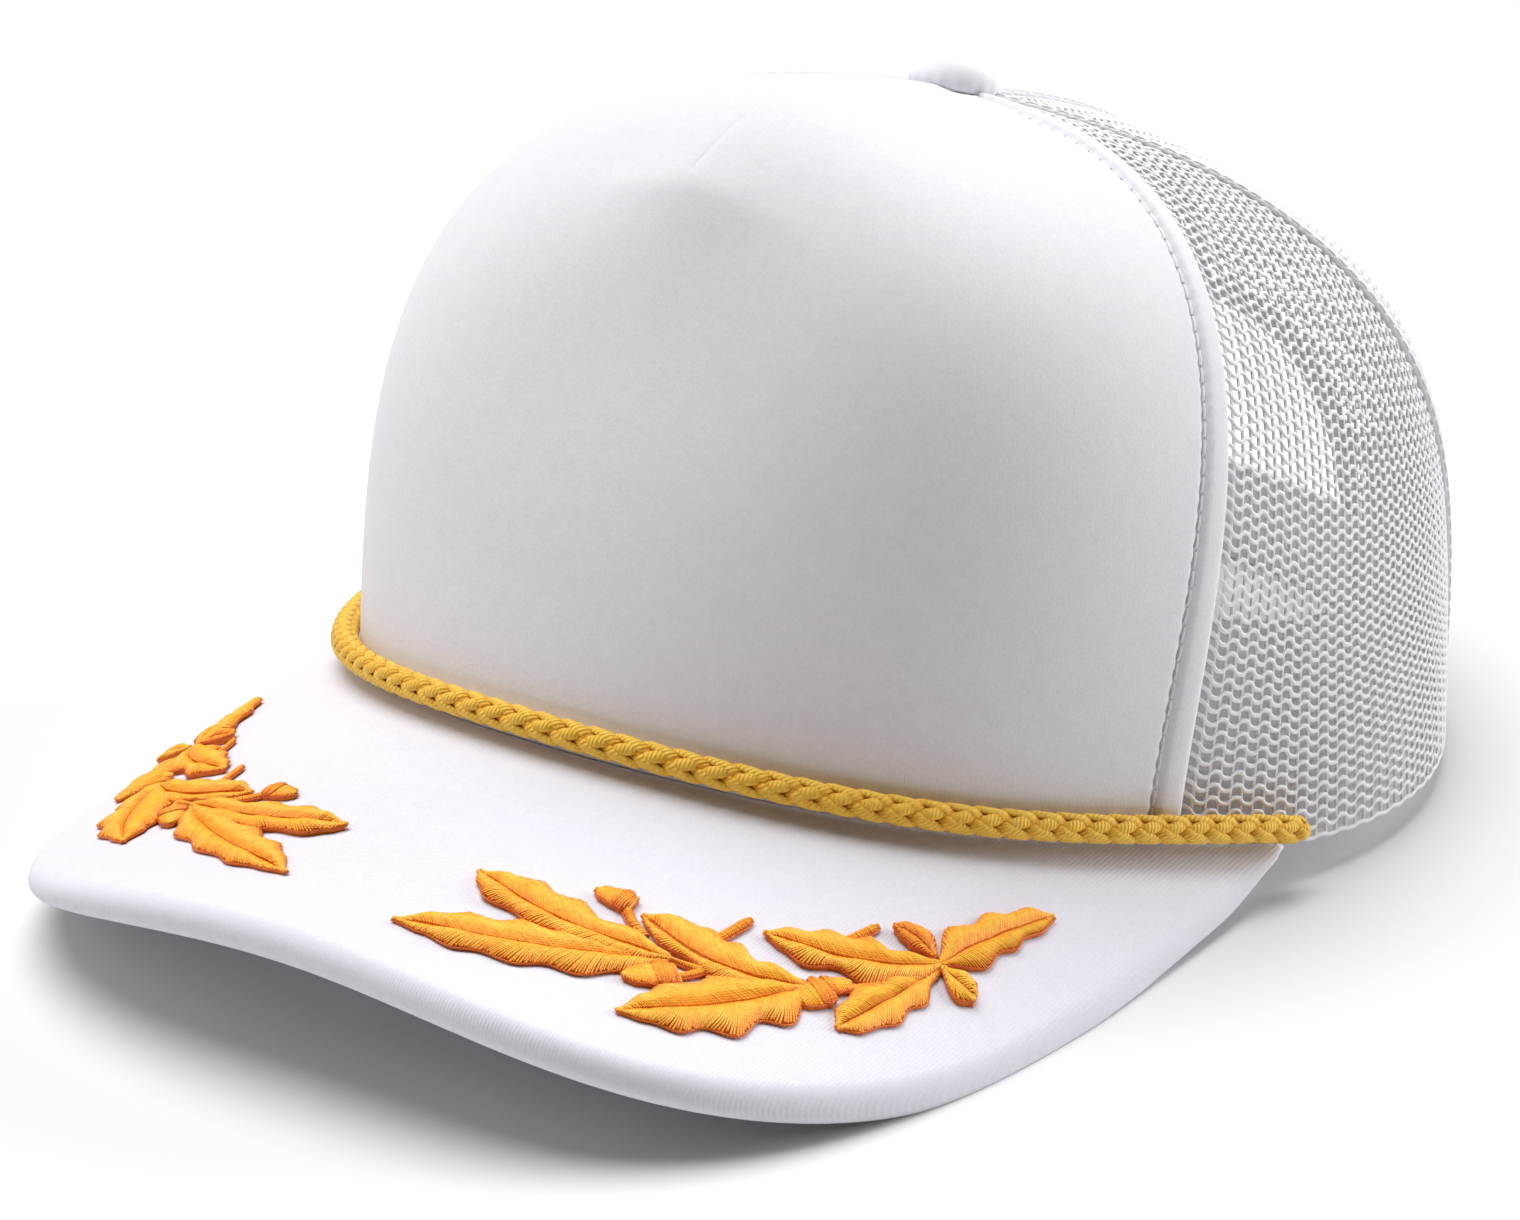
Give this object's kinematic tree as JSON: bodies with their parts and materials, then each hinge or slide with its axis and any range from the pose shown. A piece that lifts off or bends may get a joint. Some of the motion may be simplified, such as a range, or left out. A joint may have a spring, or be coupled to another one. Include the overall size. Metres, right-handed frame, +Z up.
{
  "type": "trucker cap",
  "caption": "White trucker cap with a foam front, net back, arched visor, gold braided rope and raised gold oak-leaf sprays on the visor.",
  "frame": {"origin": "middle of the footprint on the surface that the cap rests on, under the visor's edges and the back rim", "axes": "+Z up from that surface, -Y towards the visor, +X towards the wearer's left"},
  "size_m": [0.1804, 0.2694, 0.1175],
  "materials": {
    "foam_cloth": "matte white polyester cloth bonded to foam",
    "net": "white knitted polyester net",
    "band_cloth": "matte white woven cotton tape",
    "rope": "gold braided polyester rope",
    "embroidery_thread": "satin-stitched golden yellow rayon thread",
    "strap_plastic": "white moulded plastic"
  },
  "bodies": {
    "root": {"crown_front": "foam_cloth", "mesh_side_left": "net", "mesh_side_right": "net", "mesh_back_left": "net", "mesh_back_right": "net", "seam_welt_left": "net", "seam_welt_right": "net", "seam_welt_back": "net", "top_button": "foam_cloth", "visor": "foam_cloth", "rope_band": "rope", "sweatband": "band_cloth", "back_binding": "band_cloth", "snap_strap": "strap_plastic", "embroidery_left": "embroidery_thread", "embroidery_right": "embroidery_thread"}
  },
  "joints": []
}
